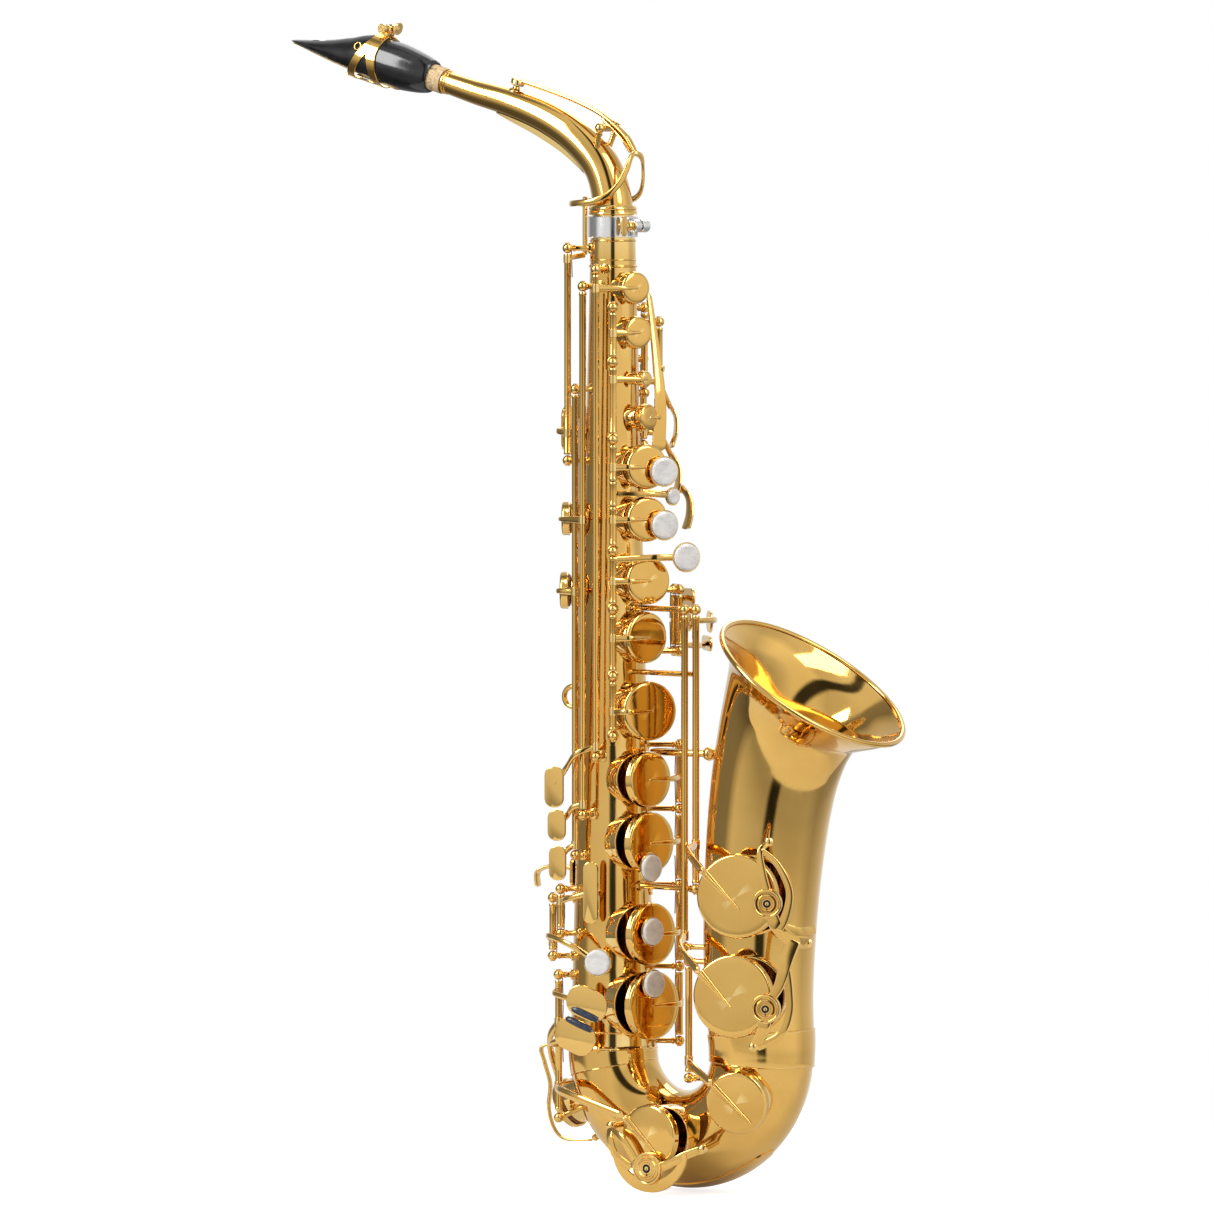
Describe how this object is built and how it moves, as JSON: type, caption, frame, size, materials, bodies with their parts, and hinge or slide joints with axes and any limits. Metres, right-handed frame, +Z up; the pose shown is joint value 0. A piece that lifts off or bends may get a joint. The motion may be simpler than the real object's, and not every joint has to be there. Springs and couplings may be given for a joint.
{
  "type": "alto saxophone",
  "caption": "Curved brass woodwind with a conical body, bow and flared bell, a bent neck with a black mouthpiece, and sprung key cups, touches and guards.",
  "frame": {"origin": "middle of the bounding box at its lowest point", "axes": "+Z up along the body tube, +X towards the bell, +Y towards the player's left"},
  "size_m": [0.4074, 0.1234, 0.6797],
  "materials": {
    "lacquered_brass": "clear gold lacquer over polished brass",
    "silver_plate": "polished silver plate",
    "ebonite": "polished black hard rubber",
    "cork": "natural cork",
    "cane": "natural cane",
    "pearl": "polished mother of pearl",
    "pad_leather": "waxed kid leather",
    "roller": "polished dark rollers",
    "felt": "dense felt",
    "spring_steel": "blued steel"
  },
  "bodies": {
    "horn": {"body_tube": "lacquered_brass", "bow": "lacquered_brass", "bell": "lacquered_brass", "body_bow_ring": "lacquered_brass", "bell_bow_ring": "lacquered_brass", "neck_receiver": "silver_plate", "bell_key_guard": "lacquered_brass", "low_c_guard": "lacquered_brass", "low_eb_guard": "lacquered_brass", "bell_brace": "lacquered_brass", "strap_ring": "lacquered_brass"},
    "b_key": {"b_key": "lacquered_brass", "b_pearl": "pearl"},
    "a_key": {"a_key": "lacquered_brass", "a_pearl": "pearl"},
    "g_key": {"g_key": "lacquered_brass", "g_pearl": "pearl"},
    "low_g_key": {"low_g_key": "lacquered_brass"},
    "fsharp_key": {"fsharp_key": "lacquered_brass"},
    "f_key": {"f_key": "lacquered_brass", "f_pearl": "pearl"},
    "e_key": {"e_pad": "pad_leather", "e_key": "lacquered_brass", "e_pearl": "pearl"},
    "d_key": {"d_pad": "pad_leather", "d_key": "lacquered_brass", "d_pearl": "pearl"},
    "bis_key": {"bis_key": "lacquered_brass"},
    "high_e_key": {"high_e_key": "lacquered_brass"},
    "side_c_key": {"side_c_key": "lacquered_brass"},
    "side_bb_key": {"side_bb_key": "lacquered_brass"},
    "high_fsharp_key": {"high_fsharp_key": "lacquered_brass"},
    "high_fsharp_touch": {"high_fsharp_touch": "lacquered_brass"},
    "octave_vent_key": {"octave_vent_key": "lacquered_brass"},
    "front_f_key": {"front_f_key": "lacquered_brass"},
    "octave_lever": {"octave_lever": "lacquered_brass"},
    "palm_f_key": {"palm_f_key": "lacquered_brass"},
    "palm_eb_key": {"palm_eb_key": "lacquered_brass"},
    "palm_d_key": {"palm_d_key": "lacquered_brass"},
    "gsharp_key": {"gsharp_key": "lacquered_brass"},
    "gsharp_touch": {"gsharp_touch": "lacquered_brass"},
    "low_csharp_touch": {"low_csharp_touch": "lacquered_brass"},
    "low_b_key": {"low_b_pad": "pad_leather", "low_b_key": "lacquered_brass"},
    "low_bb_key": {"low_bb_pad": "pad_leather", "low_bb_key": "lacquered_brass"},
    "low_csharp_key": {"low_csharp_key": "lacquered_brass"},
    "low_c_key": {"low_c_pad": "pad_leather", "low_c_key": "lacquered_brass"},
    "low_eb_key": {"low_eb_key": "lacquered_brass"},
    "trill_key": {"trill_key": "lacquered_brass"},
    "neck_screw": {"neck_clamp_screw": "silver_plate"},
    "neck": {"neck_tube": "lacquered_brass", "neck_cork": "cork"},
    "neck_octave_key": {"neck_octave_key": "lacquered_brass"},
    "mouthpiece": {"mouthpiece": "ebonite", "reed": "cane", "ligature": "lacquered_brass"},
    "ligature_screw": {"ligature_screw": "lacquered_brass"},
    "thumb_hook": {"thumb_hook": "lacquered_brass"}
  },
  "joints": [
    {"name": "b_key_turn", "type": "hinge", "parent": "horn", "child": "b_key", "pos_m": [0.03307, -0.02561, 0.4225], "axis": [0, 0, -1], "range_deg": [-15, 0], "stiffness_Nm_per_rad": 0.02},
    {"name": "a_key_turn", "type": "hinge", "parent": "horn", "child": "a_key", "pos_m": [0.03307, -0.02561, 0.3857], "axis": [0, 0, -1], "range_deg": [-14, 0], "stiffness_Nm_per_rad": 0.02},
    {"name": "g_key_turn", "type": "hinge", "parent": "horn", "child": "g_key", "pos_m": [0.03307, -0.02561, 0.3542], "axis": [0, 0, -1], "range_deg": [-14, 0], "stiffness_Nm_per_rad": 0.02},
    {"name": "low_g_key_turn", "type": "hinge", "parent": "horn", "child": "low_g_key", "pos_m": [0.03307, -0.02561, 0.2807], "axis": [0, 0, -1], "range_deg": [-14, 0], "stiffness_Nm_per_rad": 0.02},
    {"name": "fsharp_key_turn", "type": "hinge", "parent": "horn", "child": "fsharp_key", "pos_m": [0.05326, 0.01548, 0.23845], "axis": [0, 0, 1], "range_deg": [-10, 0], "stiffness_Nm_per_rad": 0.02},
    {"name": "f_key_turn", "type": "hinge", "parent": "horn", "child": "f_key", "pos_m": [0.05326, 0.01548, 0.19745], "axis": [0, 0, 1], "range_deg": [-10, 0], "stiffness_Nm_per_rad": 0.02},
    {"name": "e_key_turn", "type": "hinge", "parent": "horn", "child": "e_key", "pos_m": [0.05326, 0.01548, 0.1513], "axis": [0, 0, 1], "range_deg": [-10, 0], "stiffness_Nm_per_rad": 0.02},
    {"name": "d_key_turn", "type": "hinge", "parent": "horn", "child": "d_key", "pos_m": [0.05326, 0.01548, 0.10555], "axis": [0, 0, 1], "range_deg": [-10, 0], "stiffness_Nm_per_rad": 0.02},
    {"name": "bis_key_turn", "type": "hinge", "parent": "horn", "child": "bis_key", "pos_m": [0.03307, -0.02561, 0.4045], "axis": [0, 0, 1], "range_deg": [-5, 0], "stiffness_Nm_per_rad": 0.02},
    {"name": "high_e_key_turn", "type": "hinge", "parent": "horn", "child": "high_e_key", "pos_m": [0.02414, -0.03032, 0.3932], "axis": [0, 0, -1], "range_deg": [0, 8], "stiffness_Nm_per_rad": 0.02},
    {"name": "side_c_key_turn", "type": "hinge", "parent": "horn", "child": "side_c_key", "pos_m": [0.01514, -0.03032, 0.3712], "axis": [0, 0, 1], "range_deg": [0, 8], "stiffness_Nm_per_rad": 0.02},
    {"name": "side_bb_key_turn", "type": "hinge", "parent": "horn", "child": "side_bb_key", "pos_m": [0.00664, -0.02482, 0.3292], "axis": [0, 0, 1], "range_deg": [0, 8], "stiffness_Nm_per_rad": 0.02},
    {"name": "high_fsharp_key_turn", "type": "hinge", "parent": "horn", "child": "high_fsharp_key", "pos_m": [0.03307, -0.02561, 0.4972], "axis": [0, 0, -1], "range_deg": [0, 9], "stiffness_Nm_per_rad": 0.02},
    {"name": "high_fsharp_touch_turn", "type": "hinge", "parent": "horn", "child": "high_fsharp_touch", "pos_m": [-0.00136, -0.02832, 0.1602], "axis": [0, 0, -1], "range_deg": [0, 6], "stiffness_Nm_per_rad": 0.02},
    {"name": "octave_vent_key_turn", "type": "hinge", "parent": "horn", "child": "octave_vent_key", "pos_m": [0.03307, -0.02561, 0.4587], "axis": [0, 0, -1], "range_deg": [0, 8], "stiffness_Nm_per_rad": 0.02},
    {"name": "front_f_key_turn", "type": "hinge", "parent": "horn", "child": "front_f_key", "pos_m": [0.03929, 0.01539, 0.4732], "axis": [0, 0, 1], "range_deg": [0, 9], "stiffness_Nm_per_rad": 0.02},
    {"name": "octave_lever_turn", "type": "hinge", "parent": "horn", "child": "octave_lever", "pos_m": [-0.00586, -0.01332, 0.4852], "axis": [0, 0, 1], "range_deg": [0, 5], "stiffness_Nm_per_rad": 0.02},
    {"name": "palm_f_key_turn", "type": "hinge", "parent": "horn", "child": "palm_f_key", "pos_m": [0.02406, 0.02351, 0.4872], "axis": [0, 0, -1], "range_deg": [0, 9], "stiffness_Nm_per_rad": 0.02},
    {"name": "palm_eb_key_turn", "type": "hinge", "parent": "horn", "child": "palm_eb_key", "pos_m": [0.01967, 0.02952, 0.45695], "axis": [0, 0, -1], "range_deg": [0, 9], "stiffness_Nm_per_rad": 0.02},
    {"name": "palm_d_key_turn", "type": "hinge", "parent": "horn", "child": "palm_d_key", "pos_m": [0.01368, 0.03455, 0.4237], "axis": [0, 0, -1], "range_deg": [0, 9], "stiffness_Nm_per_rad": 0.02},
    {"name": "gsharp_key_turn", "type": "hinge", "parent": "horn", "child": "gsharp_key", "pos_m": [0.03307, -0.02561, 0.3177], "axis": [0, 0, -1], "range_deg": [0, 9.1], "stiffness_Nm_per_rad": 0.02},
    {"name": "gsharp_touch_turn", "type": "hinge", "parent": "horn", "child": "gsharp_touch", "pos_m": [0.03764, 0.03468, 0.3292], "axis": [0, 0, 1], "range_deg": [0, 7], "stiffness_Nm_per_rad": 0.02},
    {"name": "low_csharp_touch_turn", "type": "hinge", "parent": "horn", "child": "low_csharp_touch", "pos_m": [0.04364, 0.03068, 0.3292], "axis": [0, 0, 1], "range_deg": [0, 7], "stiffness_Nm_per_rad": 0.02},
    {"name": "low_b_key_turn", "type": "hinge", "parent": "horn", "child": "low_b_key", "pos_m": [0.08214, -0.01332, 0.25645], "axis": [0, 0, -1], "range_deg": [-8, 0], "stiffness_Nm_per_rad": 0.02},
    {"name": "low_bb_key_turn", "type": "hinge", "parent": "horn", "child": "low_bb_key", "pos_m": [0.07664, -0.01682, 0.2397], "axis": [0, 0, -1], "range_deg": [-8, 0], "stiffness_Nm_per_rad": 0.02},
    {"name": "low_csharp_key_turn", "type": "hinge", "parent": "horn", "child": "low_csharp_key", "pos_m": [0.07864, -0.01532, 0.0992], "axis": [0, 0, -1], "range_deg": [0, 7], "stiffness_Nm_per_rad": 0.02},
    {"name": "low_c_key_turn", "type": "hinge", "parent": "horn", "child": "low_c_key", "pos_m": [-0.00836, -0.01932, 0.06355], "axis": [0, 0, -1], "range_deg": [-4.5, 0], "stiffness_Nm_per_rad": 0.02},
    {"name": "low_eb_key_turn", "type": "hinge", "parent": "horn", "child": "low_eb_key", "pos_m": [-0.00836, -0.01932, 0.105], "axis": [0, 0, 1], "range_deg": [0, 8], "stiffness_Nm_per_rad": 0.02},
    {"name": "trill_key_turn", "type": "hinge", "parent": "horn", "child": "trill_key", "pos_m": [-0.01236, -0.01932, 0.1502], "axis": [0, 0, -1], "range_deg": [0, 5], "stiffness_Nm_per_rad": 0.02},
    {"name": "neck_screw_turn", "type": "hinge", "parent": "horn", "child": "neck_screw", "pos_m": [0.03414, -0.00532, 0.5602], "axis": [0, 1, 0], "range_deg": [-180, 180]},
    {"name": "neck_turn", "type": "hinge", "parent": "horn", "child": "neck", "pos_m": [0.01664, 0.00068, 0.5662], "axis": [0, 0, 1], "range_deg": [-30, 30]},
    {"name": "neck_octave_key_turn", "type": "hinge", "parent": "neck", "child": "neck_octave_key", "pos_m": [0.01324, 0.00068, 0.6172], "axis": [0, 1, 0], "range_deg": [0, 2.5], "stiffness_Nm_per_rad": 0.02},
    {"name": "mouthpiece_slide", "type": "slide", "parent": "neck", "child": "mouthpiece", "axis": [-0.9614, 0, 0.2753], "range_m": [-0.005, 0.006]},
    {"name": "ligature_screw_turn", "type": "hinge", "parent": "mouthpiece", "child": "ligature_screw", "pos_m": [-0.13961, 0.00668, 0.67591], "axis": [0, 1, 0], "range_deg": [-180, 180]},
    {"name": "thumb_hook_slide", "type": "slide", "parent": "horn", "child": "thumb_hook", "axis": [0, 0, 1], "range_m": [-0.004, 0.004]}
  ],
  "couplings": [
    {"joint": "low_g_key_turn", "follows": "g_key_turn", "ratio": 1},
    {"joint": "fsharp_key_turn", "follows": "f_key_turn", "ratio": 1},
    {"joint": "high_fsharp_key_turn", "follows": "high_fsharp_touch_turn", "ratio": 1.5},
    {"joint": "octave_vent_key_turn", "follows": "octave_lever_turn", "ratio": 1.6},
    {"joint": "gsharp_key_turn", "follows": "gsharp_touch_turn", "ratio": 1.3},
    {"joint": "low_csharp_key_turn", "follows": "low_csharp_touch_turn", "ratio": 1},
    {"joint": "neck_octave_key_turn", "follows": "octave_lever_turn", "ratio": 0.5}
  ]
}
